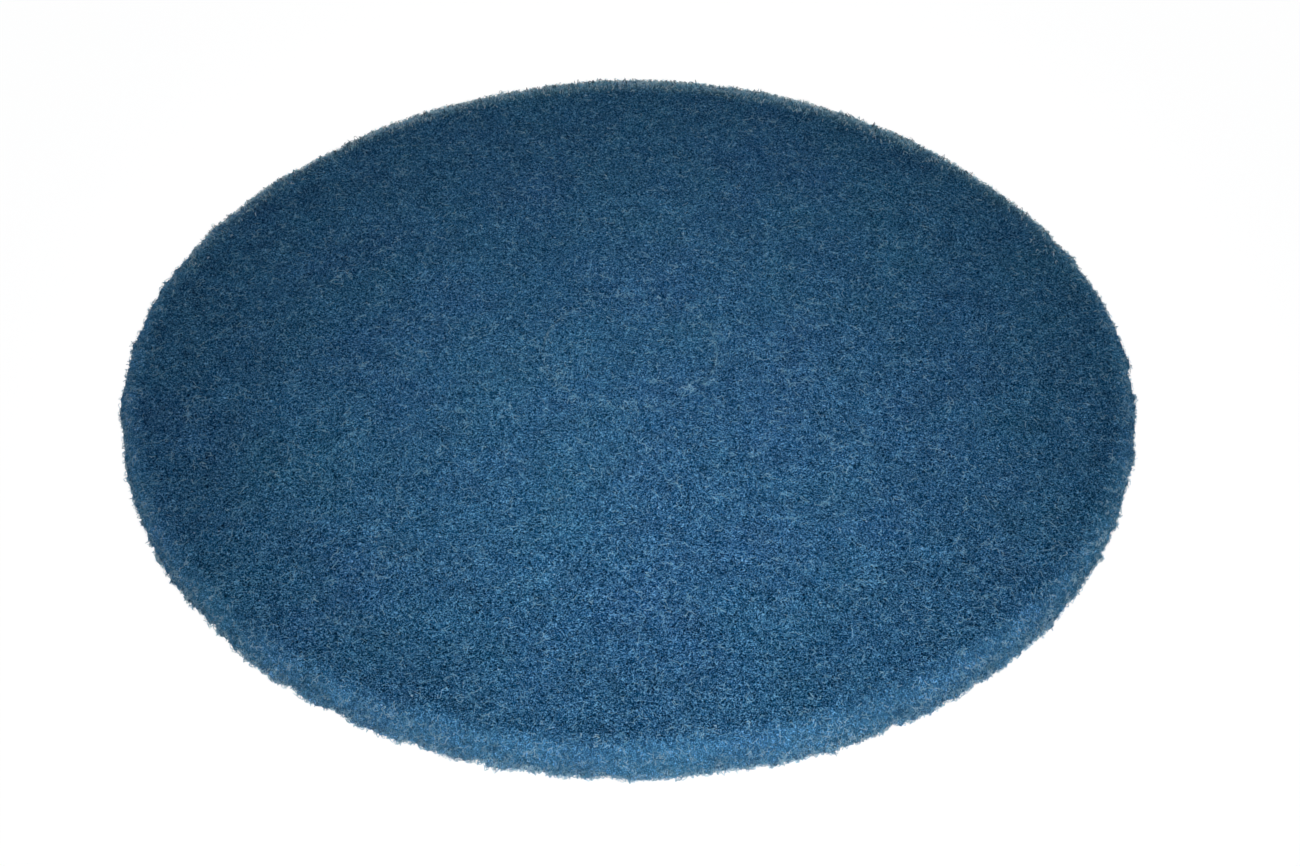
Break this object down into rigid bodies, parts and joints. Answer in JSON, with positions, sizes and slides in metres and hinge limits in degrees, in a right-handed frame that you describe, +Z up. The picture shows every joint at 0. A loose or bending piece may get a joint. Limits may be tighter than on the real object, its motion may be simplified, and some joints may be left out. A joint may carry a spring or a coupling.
{
  "type": "floor polishing pad",
  "caption": "Thick round floor-machine pad of blue nonwoven nylon web, with a rounded upper edge, a ragged cut wall and a knock-out centre plug.",
  "frame": {"origin": "centre of the pad's underside, the face that lies on the floor", "axes": "+Z up through the pad's thickness, along the axis it spins about; +X to the right and +Y away from the viewer in the picture"},
  "size_m": [0.4846, 0.4854, 0.0185],
  "materials": {
    "web": "open web of crimped, dyed nylon fibres bonded with resin, dull, with pale fibre highlights over dark pores"
  },
  "bodies": {
    "root": {"polishing_pad": "web"}
  },
  "joints": []
}
